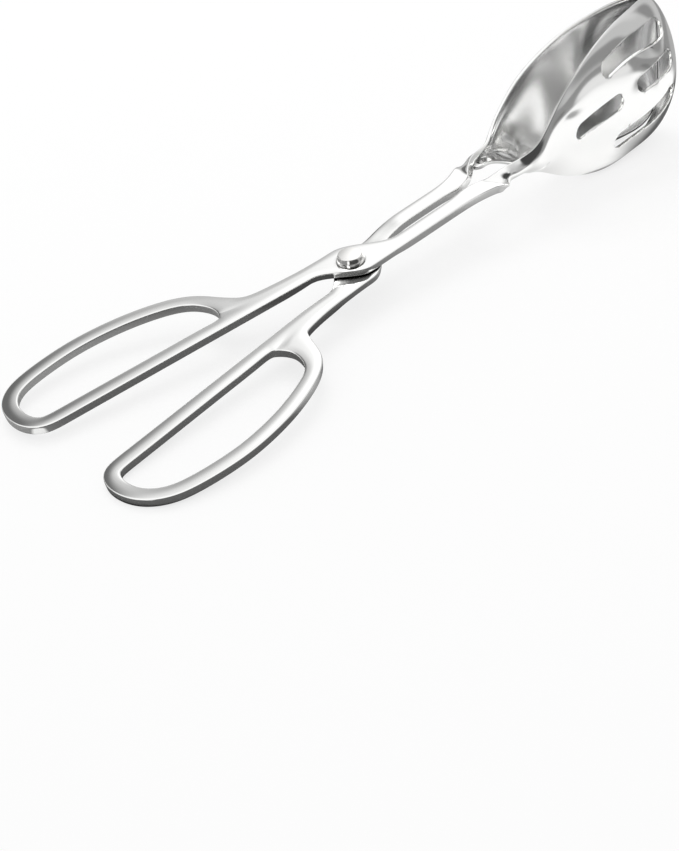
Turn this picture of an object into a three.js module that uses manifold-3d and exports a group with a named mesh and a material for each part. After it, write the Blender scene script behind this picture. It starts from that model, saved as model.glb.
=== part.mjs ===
// Scissor serving tongs: two crossed steel levers on one rivet, one ending in a
// slotted bowl and the other in a plain bowl. Millimetres, +Z up, +X towards the
// bowls. The origin is on the rivet's axis, at the flat underside of its tail.
import * as THREE from 'three';
import { mergeVertices } from 'three/addons/utils/BufferGeometryUtils.js';
import Module from 'manifold-3d';

const wasm = await Module();
wasm.setup();

// Sheet metal
const plateThickness = 2.3;      // handle, eye and arm of each lever
const shellThickness = 1.2;      // the same sheet, drawn thin in the bowl
const plateEdge = 0.55;          // tumbled edge of the plate
const shellEdge = 0.25;          // dressed rim of the bowl
const edgeBand = 0.85;           // first strip of surface beside an edge

// Rivet
const rivetRadius = 2.4;
const headRadius = 4.4;
const headHeight = 2.2;
const headRound = 0.8;
const tailRadius = 4.0;
const tailHeight = 1.2;
const tailRound = 0.5;
const boreClearance = 0.3;       // between the rivet and each eye
const play = 0.3;                // between stacked faces

// Eye, where the two levers cross
const nearCrossStart = -13.5;    // the edge next to the other handle starts to cross here
const nearCrossLength = 15;      // and this is the length along X over which it crosses
const farCrossStart = 0.5;       // the outer edge of the handle starts to cross here
const farCrossLength = 17.5;
const eyeWaist = 0.7;            // how far the outer edge draws in beside the rivet
const joggleInner = 12;          // the lower lever stays flat inside this radius
const handleJoggleRun = 14;
const armJoggleRun = 13;
const handleRise = 0.6;          // how far the lower handle comes back up

// Arm
const armWidth = 5.6;
const armGap = 3.2;              // between the two arms
const flareStart = 42;           // where the arm starts to widen
const flareWidth = 7;            // its width where it starts to turn on edge
const flareOffset = 5.8;         // from the middle plane to the arm's middle there

// Neck, turned on edge and dished like a channel
const turnStart = 56;
const neckStart = 66.5;
const neckEnd = 72;
const neckHeight = 4.9;
const turnOffset = 7.6;          // from the middle plane to the strap half way round the turn
const neckStartOffset = 6.7;     // from the middle plane to the neck
const neckEndOffset = 8.1;
const neckDish = 3;
const neckPower = 1.26;          // of the curve of its section
const leanAngle = 22;            // degrees by which the neck turns past upright

// Bowl
const rimOffset = 10.0;          // from the middle plane to the rim at its furthest
const peak = 126;                // where the bowl is tallest
const tip = 153;
const tipGap = 0.7;              // between the two rims where they meet
const bowlHeight = 52.1;
const bowlDepth = 12.65;
const bowlPower = 0.77;          // of the curve of its section
const bluntness = 4;             // power of the nose's outline, x^4 + z^4 = 1
const noseStart = 139;           // where the back starts to curve in to the tip
const slotWidth = 6.2;
const bowlLift = 1.7;            // of the bowl's middle above the arm's top face
const spreadEnd = 90;            // by here the columns are spread evenly round the section
const roundStart = 115;          // by here the section has the bowl's own curve

// Handle
const shankOffset = 3.6;         // from the middle plane to the shank's near edge
const shankWidth = 6.0;
const shankLength = 24.6;
const splayAngle = 5.5;          // degrees between the handle and the middle plane
const loopLength = 75;
const loopWidth = 30.4;
const barWidth = 4.6;
const slottedShoulder = 0.3;     // how far the ring's front corner stands forward
const plainShoulder = 2.6;

// Numbers of rows and columns of the surface
const halfColumns = 6;
const columns = 2 * halfColumns;
const loopRows = 40;
const shankRows = 6;
const crossRows = 12;
const armRows = 3;
const flareRows = 3;
const twistRows = 8;
const neckRows = 3;
const bowlRows = 16;
const noseRows = 7;
const bowlRowPower = 1.3;        // crowds the bowl's rows towards the neck
const roundSegments = 32;
const cornerSteps = 4;           // in a rounded corner of the rivet
const slotSteps = 8;             // along a slot and round each of its ends

// Derived heights of the stack on the rivet, and sizes of the surface half way
// through the sheet
const lowerBase = tailHeight + play;
const upperBase = lowerBase + plateThickness + play;
const headBase = upperBase + plateThickness + play;
const eyeDrop = upperBase - lowerBase;
const armMiddle = upperBase + plateThickness / 2;
const bowlMiddle = upperBase + plateThickness + bowlLift;
const armInner = -armGap / 2;
const armOuter = armInner - armWidth;
const halfBowl = (bowlHeight - shellThickness) / 2;
const deepest = bowlDepth - shellThickness / 2;
const tipMiddle = tip - shellThickness / 2;

const range = (count) => Array.from({ length: count }, (_, i) => i);
const blend = (from, to, share) => from + (to - from) * share;
const clampShare = (share) => Math.min(Math.max(share, 0), 1);
const smooth = (share) => {
  const s = clampShare(share);
  return s * s * (3 - 2 * s);
};

// A smooth curve through stations, read at any place along them.
function profile(stations, values) {
  const points = stations.map((station, i) => new THREE.Vector2(station, values[i]));
  const samples = new THREE.SplineCurve(points).getPoints(points.length * roundSegments);
  return (place) => {
    const next = samples.findIndex((sample) => sample.x >= place);
    if (next <= 0) return next === 0 ? samples[0].y : samples[samples.length - 1].y;
    const before = samples[next - 1];
    const after = samples[next];
    return blend(before.y, after.y, (place - before.x) / (after.x - before.x));
  };
}

// Plan of the strap between handle and arm: both edges cross the middle plane.
const shankFar = shankOffset + shankWidth;
const crossEnd = farCrossStart + farCrossLength;
const nearEdge = (x) =>
  blend(shankOffset, armOuter, smooth((x - nearCrossStart) / nearCrossLength));
const farEdge = (x) => {
  const waistShare = clampShare((x - nearCrossStart) / (farCrossStart - nearCrossStart));
  const drawnIn = shankFar - eyeWaist * Math.sin(waistShare * Math.PI / 2);
  return blend(drawnIn, armInner, smooth((x - farCrossStart) / farCrossLength));
};

// Handle frame: back along the straight inner bar, and out from it.
const splay = THREE.MathUtils.degToRad(splayAngle);
const back = new THREE.Vector2(-Math.cos(splay), Math.sin(splay));
const out = new THREE.Vector2(Math.sin(splay), Math.cos(splay));
const loopStart = new THREE.Vector2(nearCrossStart, shankOffset).addScaledVector(back, shankLength);
const inHandle = (along, across) =>
  loopStart.clone().addScaledVector(back, along).addScaledVector(out, across);

// The loop's outer edge, from the shank round to the shank again, and the front
// corner of the finger hole, as shares of the loop's length and width. The
// shoulder shares say how far the last of these points stand forward. The bar is
// fuller there by the full shares of its width and of how far the shoulder stands
// forward.
const loopOuterShares = [
  [0.053, 0], [0.1, 0], [0.18, 0], [0.32, 0], [0.54, 0], [0.76, 0], [0.865, 0], [0.932, 0.03],
  [0.98, 0.145], [1, 0.31], [0.996, 0.49], [0.965, 0.665], [0.897, 0.82], [0.787, 0.92],
  [0.64, 0.985], [0.5, 1], [0.35, 0.965], [0.215, 0.885], [0.115, 0.775], [0.046, 0.625],
  [0, 0.455], [-0.048, 0.303],
];
const loopShoulderShares = [0.15, 0.4, 0.8, 1, 0.85, 0.45];
const barFullShares = [0, 0, 0, 0.037, 0.296, 0];
const shoulderFullShares = [0, 0, 0, 0.43, 0.48, 0];
const crotchShares = [0.072, 0.204];
const crotch = inHandle(crotchShares[0] * loopLength, crotchShares[1] * loopWidth);

// The two edges of the loop's bar. The inner one lies a bar's width inside the
// outer one, and both of its ends are the crotch.
function loopRails(shoulder) {
  const plainEnd = loopOuterShares.length - loopShoulderShares.length;
  const outer = loopOuterShares.map(([along, across], i) =>
    inHandle(along * loopLength - shoulder * (loopShoulderShares[i - plainEnd] ?? 0),
      across * loopWidth));
  const inner = outer.map((point, i) => {
    if (i === 0 || i === outer.length - 1) return crotch;
    const run = outer[i + 1].clone().sub(outer[i - 1]).normalize();
    const full = barWidth * (1 + (barFullShares[i - plainEnd] ?? 0))
      + shoulder * (shoulderFullShares[i - plainEnd] ?? 0);
    return point.clone().addScaledVector(new THREE.Vector2(run.y, -run.x), full);
  });
  return [new THREE.SplineCurve(outer), new THREE.SplineCurve(inner)];
}

// Where the columns lie between two edges: a narrow one beside each edge that
// is free, and the rest even.
function columnShares(count, width, freeEnds) {
  const band = edgeBand / width;
  const first = freeEnds[0] ? band : 0;
  const last = freeEnds[1] ? 1 - band : 1;
  return range(count + 1).map((i) => {
    if (i === 0 || i === count) return i / count;
    const start = freeEnds[0] ? 1 : 0;
    const end = freeEnds[1] ? count - 1 : count;
    return blend(first, last, (i - start) / (end - start));
  });
}

const onPlate = (point) => new THREE.Vector3(point.x, point.y, armMiddle);
const plateRow = (points) => ({ points, thickness: plateThickness, edge: plateEdge });

// A row of the flat strap, from its near edge through its middle to its far edge.
function flatRow(near, middle, far) {
  const half = (from, to, freeEnds) =>
    columnShares(halfColumns, from.distanceTo(to), freeEnds).map((share) =>
      onPlate(from.clone().lerp(to, share)));
  return plateRow([...half(near, middle, [true, false]),
    ...half(middle, far, [false, true]).slice(1)]);
}

// The row on which the strap divides into the two ends of the loop.
function divideRow(outer) {
  const half = (from, to) => columnShares(halfColumns, from.distanceTo(to), [true, true])
    .map((share) => onPlate(from.clone().lerp(to, share)));
  return plateRow([...half(outer.getPoint(0), crotch), ...half(crotch, outer.getPoint(1)).slice(1)]);
}

// Shank: its rows turn from square across the strap to the row that divides.
const shankFarShares = [0.12, 0.3, 0.52, 0.735];
const shankNearShares = [0.069, 0.345, 0.598, 0.845];
const shankFillShares = [0.015, 0.055, 0.125, 0.25];
function shankStations(outer) {
  const square = new THREE.Vector2(nearCrossStart, shankFar);
  const far = shankFarShares.map((share, i) =>
    inHandle(-shankLength * (1 - share), shankWidth * (1 + shankFillShares[i])));
  const near = shankNearShares.map((share) => inHandle(-shankLength * (1 - share), 0));
  const rails = [[...near].reverse(), [...far].reverse()];
  const nearRail = [outer.getPoint(0), ...rails[0], inHandle(-shankLength, 0)];
  const farRail = [outer.getPoint(1), ...rails[1], square];
  const middleRail = nearRail.map((point, i) =>
    (i === 0 ? crotch : point.clone().lerp(farRail[i], 0.5)));
  return [nearRail, middleRail, farRail].map((points) => new THREE.SplineCurve(points));
}

// Rims and back of the bowl along its length, as shares of that length, and
// the sizes there as shares of the widest, the tallest and the deepest.
const offsetStationShares = [0.035, 0.075, 0.14, 0.22, 0.36, 0.52, 0.68, 0.765, 0.855, 0.93, 1];
const offsetShares = [0.93, 1, 1, 0.96, 0.83, 0.63, 0.425, 0.31, 0.125];
const heightStationShares = [0, 0.093, 0.146, 0.2, 0.309, 0.42, 0.537, 0.656, 0.778, 0.898, 1];
const heightShares = [0.152, 0.277, 0.366, 0.445, 0.6, 0.73, 0.839, 0.919, 0.967, 0.991, 1];
const depthStationShares = [0.075, 0.15, 0.24, 0.34, 0.46, 0.6, 0.79, 1];
const depthShares = [0.325, 0.369, 0.405, 0.429, 0.456, 0.518, 0.686, 1];

// How far the middle of the section has risen from the arm's middle to the bowl's, and how
// far it leans past upright, at shares of the length from the start of the turn to the peak.
const riseStationShares = [0.057, 0.1, 0.15, 0.229, 0.286, 0.343, 0.414, 0.514, 0.629, 0.8, 1];
const riseShares = [0.173, 0.347, 0.527, 0.388, 0.402, 0.666, 0.971, 1.002, 0.912, 0.943, 1];
const leanStationShares = [0.15, 0.229, 0.314, 0.457, 0.629, 0.843, 1];
const leanShares = [0.877, 0.98, 1, 0.564, 0.273, 0.04, 0];

// The same for the turn between arm and neck.
const turnStationShares = [0.2, 0.4, 0.55, 0.72, 0.89];
const turnOffsetShares = [0.91, 1, 0.985, 0.91, 0.865];
const turnDishShares = [0, 0.1, 0.3, 0.67, 0.93];

const placesBetween = (start, end, shares) => shares.map((share) => blend(start, end, share));
const sizesOf = (whole, shares) => shares.map((share) => whole * share);
const turnPlaces = placesBetween(turnStart, neckStart, turnStationShares);
const rimPlace = profile(
  [flareStart, turnStart, ...turnPlaces, neckStart, neckEnd,
    ...placesBetween(neckEnd, tip, offsetStationShares)],
  [(armInner + armOuter) / -2, flareOffset, ...sizesOf(turnOffset, turnOffsetShares),
    neckStartOffset, neckEndOffset, ...sizesOf(rimOffset, offsetShares), tipGap / 2, tipGap / 2]);
const halfHeight = profile(
  [flareStart, turnStart, neckStart, ...placesBetween(neckEnd, peak, heightStationShares)],
  [armWidth / 2, flareWidth / 2, neckHeight / 2, ...sizesOf(halfBowl, heightShares)]);
const backDepth = profile(
  [turnStart, ...turnPlaces, neckStart, neckEnd,
    ...placesBetween(neckEnd, noseStart, depthStationShares)],
  [0, ...sizesOf(neckDish, turnDishShares), neckDish, neckDish, ...sizesOf(deepest, depthShares)]);
const turnShare = (x) => smooth((x - turnStart) / (neckStart - turnStart));
const thinShare = (x) => smooth((x - turnStart) / (neckEnd - turnStart));
const riseAt = profile([flareStart, turnStart, ...placesBetween(turnStart, peak, riseStationShares)],
  [0, 0, ...riseShares]);
const middleHeight = (x) => blend(armMiddle, bowlMiddle, riseAt(x));
const leanProfile = profile([turnStart, ...placesBetween(turnStart, peak, leanStationShares)],
  [0, ...sizesOf(THREE.MathUtils.degToRad(leanAngle), leanShares)]);
const leanAt = (x) => (x > turnStart ? leanProfile(x) : 0);
const roundness = (x) =>
  blend(neckPower, bowlPower, clampShare((x - neckEnd) / (roundStart - neckEnd)));
const thicknessAt = (x) => blend(plateThickness, shellThickness, thinShare(x));
const edgeAt = (x) => blend(plateEdge, shellEdge, thinShare(x));

// A row across the strap at x, turned about the strap's length and dished.
function turnedRow(x) {
  const half = halfHeight(x);
  const turn = turnShare(x) * Math.PI / 2 + leanAt(x);
  const inwards = half * Math.sin(leanAt(x));
  const even = columnShares(columns, 2 * half, [true, true]);
  const spread = smooth((x - neckStart) / (spreadEnd - neckStart));
  const points = even.map((share, i) => {
    const round = Math.sin(Math.PI * (i / columns - 1 / 2));
    const across = blend(2 * share - 1, round, spread);
    const dish = backDepth(x) * Math.max(1 - across * across, 0) ** roundness(x);
    return new THREE.Vector3(x,
      inwards - rimPlace(x) + half * across * Math.cos(turn) - dish * Math.sin(turn),
      middleHeight(x) + half * across * Math.sin(turn) + dish * Math.cos(turn));
  });
  return { points, thickness: thicknessAt(x), edge: edgeAt(x) };
}

// A row of the nose. The square patch in front of the peak is laid over a disc,
// and the disc over the blunt outline.
function noseRow(step) {
  const ahead = Math.sin(Math.PI / 2 * step);
  const points = range(columns + 1).map((i) => {
    const across = Math.sin(Math.PI * (i / columns - 1 / 2));
    const u = ahead * Math.sqrt(1 - across * across / 2);
    const v = across * Math.sqrt(1 - ahead * ahead / 2);
    const radius = Math.hypot(u, v) || 1;
    const size = (u / radius) ** bluntness + Math.abs(v / radius) ** bluntness;
    const stretch = (size || 1) ** (-1 / bluntness);
    const x = blend(peak, tipMiddle, u * stretch);
    const height = Math.max(1 - (u * stretch) ** bluntness, 0) ** (1 / bluntness);
    const level = height > 0 ? Math.min(Math.abs(v * stretch) / height, 1) : 1;
    const nose = clampShare((x - noseStart) / (tipMiddle - noseStart));
    const onRim = step === 1 || i === 0 || i === columns;
    const curve = onRim ? 0 : Math.sqrt(1 - nose * nose) * (1 - level * level) ** bowlPower;
    return new THREE.Vector3(x, -rimPlace(x) - backDepth(x) * curve,
      bowlMiddle + halfBowl * v * stretch);
  });
  return { points, thickness: shellThickness, edge: shellEdge };
}

// The surface half way through the sheet: all the rows of one lever.
function leverSurface(shoulder) {
  const [outer, inner] = loopRails(shoulder);
  const rails = shankStations(outer);
  const rows = [divideRow(outer)];
  for (const i of range(shankRows)) {
    rows.push(flatRow(...rails.map((rail) => rail.getPoint((i + 1) / shankRows))));
  }
  const straightRow = (x) => {
    const near = new THREE.Vector2(x, nearEdge(x));
    const far = new THREE.Vector2(x, farEdge(x));
    return flatRow(near, near.clone().lerp(far, 1 / 2), far);
  };
  const addRows = (count, row, from, to, power = 1) => {
    for (const i of range(count)) rows.push(row(blend(from, to, ((i + 1) / count) ** power)));
  };
  addRows(crossRows, straightRow, nearCrossStart, crossEnd);
  addRows(armRows, straightRow, crossEnd, flareStart);
  addRows(flareRows, turnedRow, flareStart, turnStart);
  addRows(twistRows, turnedRow, turnStart, neckStart);
  addRows(neckRows, turnedRow, neckStart, neckEnd);
  addRows(bowlRows, turnedRow, neckEnd, peak, bowlRowPower);
  addRows(noseRows, noseRow, 0, 1);
  const loop = range(loopRows - 1).map((i) => {
    const share = (i + 1) / loopRows;
    const from = outer.getPoint(share);
    const to = inner.getPoint(share);
    return plateRow(columnShares(halfColumns, from.distanceTo(to), [true, true])
      .map((s) => onPlate(from.clone().lerp(to, s))));
  });
  return { rows, loop };
}

// Numbers the surface's points and joins them into four-sided faces, seen
// anticlockwise from above.
function gridSheet({ rows, loop }) {
  const sheet = { points: [], thickness: [], edge: [], faces: [] };
  const number = (row) => row.points.map((point) => {
    sheet.points.push(point);
    sheet.thickness.push(row.thickness);
    sheet.edge.push(row.edge);
    return sheet.points.length - 1;
  });
  const strap = rows.map(number);
  const first = strap[0].slice(0, halfColumns + 1);
  const last = strap[0].slice(halfColumns).reverse();
  const ring = [first, ...loop.map(number), last];
  for (let r = 1; r < strap.length; r += 1) {
    for (const c of range(columns)) {
      sheet.faces.push([strap[r - 1][c], strap[r][c], strap[r][c + 1], strap[r - 1][c + 1]]);
    }
  }
  for (let r = 1; r < ring.length; r += 1) {
    for (const c of range(halfColumns)) {
      sheet.faces.push([ring[r - 1][c], ring[r - 1][c + 1], ring[r][c + 1], ring[r][c]]);
    }
  }
  return sheet;
}

// The other lever of the pair: mirrored, and stepped down under the first one.
function mirrorSheet(sheet) {
  const points = sheet.points.map((point) => {
    const radius = Math.hypot(point.x, point.y);
    const toHandle = point.x < 0;
    const run = toHandle ? handleJoggleRun : armJoggleRun;
    const rise = toHandle ? handleRise : eyeDrop;
    const drop = eyeDrop - rise * smooth((radius - joggleInner) / run);
    return new THREE.Vector3(point.x, -point.y, point.z - drop);
  });
  return { ...sheet, points, faces: sheet.faces.map((face) => [...face].reverse()) };
}

// Turns a sheet into a closed solid: a skin on each side and, round every free
// edge, a wall between two chamfers.
function thicken(sheet) {
  const normals = sheet.points.map(() => new THREE.Vector3());
  const inward = sheet.points.map(() => new THREE.Vector3());
  const sides = new Map();
  for (const face of sheet.faces) {
    const [a, b, c, d] = face.map((i) => sheet.points[i]);
    const normal = c.clone().sub(a).cross(d.clone().sub(b)).normalize();
    face.forEach((i, k) => {
      normals[i].add(normal);
      sides.set(`${i} ${face[(k + 1) % face.length]}`, normal);
    });
  }
  normals.forEach((normal) => normal.normalize());
  const free = [...sides.keys()].map((key) => key.split(' ').map(Number))
    .filter(([i, j]) => !sides.has(`${j} ${i}`));
  for (const [i, j] of free) {
    const run = sheet.points[j].clone().sub(sheet.points[i]);
    const turn = sides.get(`${i} ${j}`).clone().cross(run).normalize();
    inward[i].add(turn);
    inward[j].add(turn);
  }
  const edgeNumbers = new Set(free.flat());
  const positions = [];
  const put = (point) => positions.push(point.x, point.y, point.z) / 3 - 1;
  const layers = sheet.points.map((point, i) => {
    const half = sheet.thickness[i] / 2;
    const cut = sheet.edge[i];
    const onEdge = edgeNumbers.has(i);
    const step = inward[i].length() > 0 ? inward[i].clone().normalize() : inward[i];
    const at = (level, inset) =>
      put(point.clone().addScaledVector(normals[i], level).addScaledVector(step, inset));
    const skins = [at(half, onEdge ? cut : 0), at(-half, onEdge ? cut : 0)];
    return onEdge ? [skins[0], at(half - cut, 0), at(cut - half, 0), skins[1]] : skins;
  });
  const top = (i) => layers[i][0];
  const bottom = (i) => layers[i][layers[i].length - 1];
  const indices = [];
  const quad = (a, b, c, d) => indices.push(a, b, c, a, c, d);
  for (const face of sheet.faces) {
    quad(...face.map(top));
    quad(...face.map(bottom).reverse());
  }
  for (const [i, j] of free) {
    for (let k = 1; k < layers[i].length; k += 1) {
      quad(layers[j][k - 1], layers[i][k - 1], layers[i][k], layers[j][k]);
    }
  }
  const geometry = new THREE.BufferGeometry();
  geometry.setAttribute('position', new THREE.Float32BufferAttribute(positions, 3));
  geometry.setIndex(indices);
  return geometry;
}

// Joining and cutting
function toSolid(geometry) {
  const plain = geometry.clone();
  plain.deleteAttribute('normal');
  plain.deleteAttribute('uv');
  const merged = mergeVertices(plain);
  return new wasm.Manifold(new wasm.Mesh({
    numProp: 3,
    vertProperties: Float32Array.from(merged.attributes.position.array),
    triVerts: Uint32Array.from(merged.index.array),
  }));
}

function toGeometry(solid) {
  const { numProp, vertProperties, triVerts } = solid.getMesh();
  const geometry = new THREE.BufferGeometry();
  const positions = new Float32Array(vertProperties.length / numProp * 3);
  for (const i of range(vertProperties.length / numProp)) {
    positions.set(vertProperties.subarray(i * numProp, i * numProp + 3), i * 3);
  }
  geometry.setAttribute('position', new THREE.BufferAttribute(positions, 3));
  geometry.setIndex([...triVerts]);
  geometry.computeVertexNormals();
  return geometry;
}

// A round hole for the rivet, right through the eye.
function boreTool() {
  const radius = rivetRadius + boreClearance;
  const reach = headBase + headHeight;
  const tool = new THREE.CylinderGeometry(radius, radius, 2 * reach, roundSegments);
  tool.rotateX(Math.PI / 2);
  return toSolid(tool);
}

// Slots of the slotted bowl. Each follows a line through the middle of its first round
// end, a point half way along and the middle of its last round end, given as shares of
// the bowl's length and, from the bowl's middle, of half its height.
const slotLineShares = [
  [[0.484, 0.612], [0.654, 0.694], [0.815, 0.71]],
  [[0.291, 0.015], [0.401, 0.05], [0.512, 0.083]],
  [[0.669, 0.168], [0.741, 0.242], [0.815, 0.304]],
  [[0.547, -0.522], [0.685, -0.425], [0.817, -0.191]],
];

function slotTool(lineShares) {
  const line = new THREE.SplineCurve(lineShares.map(([along, up]) =>
    new THREE.Vector2(blend(neckEnd, tip, along), bowlMiddle + up * halfBowl)));
  const beside = (share, angle) => {
    const direction = line.getTangent(share).angle() + angle;
    const away = new THREE.Vector2(Math.cos(direction), Math.sin(direction));
    return line.getPoint(share).addScaledVector(away, slotWidth / 2);
  };
  const quarter = Math.PI / 2;
  const shares = range(slotSteps).map((i) => i / slotSteps);
  const outline = new THREE.Shape([
    ...shares.map((share) => beside(share, -quarter)),
    ...shares.map((share) => beside(1, blend(-quarter, quarter, share))),
    ...shares.map((share) => beside(1 - share, quarter)),
    ...shares.map((share) => beside(0, quarter + Math.PI * share)),
  ]);
  const tool = new THREE.ExtrudeGeometry(outline, {
    depth: rimOffset + bowlDepth, bevelEnabled: false,
  });
  tool.rotateX(quarter);
  return toSolid(tool);
}

// The rivet: a low round head, a shank through both eyes and a pressed tail.
function rivetGeometry() {
  const round = (radius, level, size, from) => range(cornerSteps + 1).map((i) => {
    const angle = from + Math.PI / 2 * i / cornerSteps;
    return [radius - size + size * Math.cos(angle), level + size * Math.sin(angle)];
  });
  const top = headBase + headHeight;
  const profilePoints = [
    [0, 0],
    ...round(tailRadius, tailRound, tailRound, -Math.PI / 2),
    [tailRadius, tailHeight], [rivetRadius, tailHeight],
    [rivetRadius, headBase], [headRadius, headBase],
    ...round(headRadius, top - headRound, headRound, 0),
    [0, top],
  ];
  const lathe = new THREE.LatheGeometry(
    profilePoints.map(([radius, level]) => new THREE.Vector2(radius, level)), roundSegments);
  lathe.rotateX(Math.PI / 2);
  return lathe;
}

const steel = (name, tint, roughness) =>
  new THREE.MeshStandardMaterial({ name, color: tint, roughness, metalness: 1 });

let slottedLever = toSolid(thicken(gridSheet(leverSurface(slottedShoulder)))).subtract(boreTool());
for (const line of slotLineShares) slottedLever = slottedLever.subtract(slotTool(line));
const plainLever = toSolid(thicken(mirrorSheet(gridSheet(leverSurface(plainShoulder)))))
  .subtract(boreTool());

const upperLever = new THREE.Mesh(toGeometry(slottedLever), steel('polished steel', 0xd9dadb, 0.08));
upperLever.name = 'slotted_lever';
const lowerLever = new THREE.Mesh(toGeometry(plainLever), steel('polished steel', 0xd6d7d9, 0.08));
lowerLever.name = 'plain_lever';
const rivet = new THREE.Mesh(rivetGeometry(), steel('rivet steel', 0xe2e2e0, 0.12));
rivet.name = 'pivot_rivet';

const tongs = new THREE.Group();
tongs.add(upperLever, lowerLever, rivet);
export default tongs;
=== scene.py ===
"""Scissor serving tongs of mirror-polished stainless steel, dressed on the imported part.

Lengths in the classes are millimetres. Blender's own are metres, in the part's frame: the
origin is under the rivet, +X runs towards the bowls and +Z along the rivet to its head.
Station shares are places along a stretch of the lever, as shares of that stretch, and the
tuple that goes with them holds the shares of a size at those places.
"""

import logging
import math
from collections.abc import Callable
from dataclasses import dataclass, field
from enum import Enum

import bmesh
import bpy
from mathutils import Matrix, Vector
from mathutils.kdtree import KDTree


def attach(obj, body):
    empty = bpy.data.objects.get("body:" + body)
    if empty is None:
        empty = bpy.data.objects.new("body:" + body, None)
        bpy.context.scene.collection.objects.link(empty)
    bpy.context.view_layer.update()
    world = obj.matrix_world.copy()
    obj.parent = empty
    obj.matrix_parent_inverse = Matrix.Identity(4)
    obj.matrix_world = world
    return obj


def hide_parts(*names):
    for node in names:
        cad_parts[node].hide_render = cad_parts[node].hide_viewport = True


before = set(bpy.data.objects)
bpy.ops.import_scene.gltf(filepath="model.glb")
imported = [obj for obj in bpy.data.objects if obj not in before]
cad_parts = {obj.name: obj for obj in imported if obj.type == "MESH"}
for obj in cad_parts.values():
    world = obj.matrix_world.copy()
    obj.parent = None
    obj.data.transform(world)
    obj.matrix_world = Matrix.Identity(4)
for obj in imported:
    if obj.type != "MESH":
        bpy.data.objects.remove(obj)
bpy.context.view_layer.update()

MM = 0.001
QUARTER = math.pi / 2
WHITE = (1.0, 1.0, 1.0, 1.0)
Row = list[Vector]
Shares = tuple[float, ...]
Socket = bpy.types.NodeSocket
log = logging.getLogger("tongs")


def blend(start: float, end: float, share: float) -> float:
    """The value that lies the given share of the way from start to end."""
    return start + (end - start) * share


def clamp(share: float) -> float:
    """A share kept between 0 and 1."""
    return min(max(share, 0.0), 1.0)


def smooth(share: float) -> float:
    """A share eased in and out at both ends."""
    s = clamp(share)
    return s * s * (3 - 2 * s)


def shares_of(count: int) -> list[float]:
    """The shares 1/count, 2/count and so on up to 1."""
    return [(i + 1) / count for i in range(count)]


class Curve:
    """A curve without kinks through stations, level beyond its ends."""

    def __init__(self, stations: list[float], values: list[float],
                 level_ends: bool = True) -> None:
        """Finds the slope at every station for which the bend is continuous.

        Args:
            stations: Where the values hold, rising.
            values: The value at each station.
            level_ends: Whether the curve is level at its ends, or else only unbent there.
        """
        self.stations, self.values = stations, values
        gaps = [b - a for a, b in zip(stations, stations[1:])]
        rises = [(b - a) / gap for a, b, gap in zip(values, values[1:], gaps)]
        last = len(stations) - 1
        upper, right = ([0.0], [0.0]) if level_ends else ([0.5], [1.5 * rises[0]])
        for i in range(1, last + 1):
            if i < last:
                before, after = 1 / gaps[i - 1], 1 / gaps[i]
                middle = 2 * (before + after)
                value = 3 * (rises[i - 1] * before + rises[i] * after)
            elif level_ends:
                before, after, middle, value = 0.0, 0.0, 1.0, 0.0
            else:
                before, after, middle, value = 1.0, 0.0, 2.0, 3 * rises[-1]
            scale = middle - before * upper[-1]
            upper.append(after / scale)
            right.append((value - before * right[-1]) / scale)
        self.slopes = right[:]
        for i in range(last - 1, -1, -1):
            self.slopes[i] = right[i] - upper[i] * self.slopes[i + 1]

    def __call__(self, place: float) -> float:
        """The curve's value at a place.

        Args:
            place: The place along the stations.

        Returns:
            The value there.
        """
        if place <= self.stations[0]:
            return self.values[0]
        if place >= self.stations[-1]:
            return self.values[-1]
        i = next(k for k in range(1, len(self.stations)) if self.stations[k] >= place)
        gap = self.stations[i] - self.stations[i - 1]
        t = (place - self.stations[i - 1]) / gap
        return (
            (2 * t**3 - 3 * t**2 + 1) * self.values[i - 1]
            + (t**3 - 2 * t**2 + t) * gap * self.slopes[i - 1]
            + (3 * t**2 - 2 * t**3) * self.values[i]
            + (t**3 - t**2) * gap * self.slopes[i]
        )


class Rail:
    """A line through points in the plane, read from its start at 0 to its end at 1."""

    def __init__(self, points: list[Vector], closed: bool = False) -> None:
        """Runs one curve through each coordinate of the points.

        Args:
            points: The points, in order.
            closed: Whether the line turns smoothly where it comes back to its start.
        """
        stations = [i / (len(points) - 1) for i in range(len(points))]
        if closed:
            step = stations[1]
            stations = [-2 * step, -step, *stations, 1 + step, 1 + 2 * step]
            points = [points[-3], points[-2], *points, points[1], points[2]]
        self.x = Curve(stations, [p.x for p in points], level_ends=False)
        self.y = Curve(stations, [p.y for p in points], level_ends=False)

    def __call__(self, share: float) -> Vector:
        """The point at a share of the line."""
        return Vector((self.x(share), self.y(share)))

    def direction(self, share: float) -> Vector:
        """The direction in which the line runs.

        Args:
            share: The share of the line.

        Returns:
            The direction there, one long.
        """
        step = 0.001
        run = self(clamp(share + step)) - self(clamp(share - step))
        return run.normalized()


@dataclass(frozen=True)
class SheetSizes:
    """The steel sheet that both levers are pressed from."""

    plate: float = 2.3
    bar: float = 2.85
    shell: float = 1.2
    bar_start: float = 13.0
    bar_run: float = 8.0
    plate_round: float = 0.35
    shell_round: float = 0.25
    edge_band: float = 0.85
    crown_drop: float = 0.16
    crown_reach: float = 2.4
    half_columns: int = 6
    rim_steps: int = 4
    same_point: float = 0.01
    wall_angle: float = 55.0
    smooth_angle: float = 40.0
    round_segments: int = 2
    press_levels: int = 2


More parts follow.
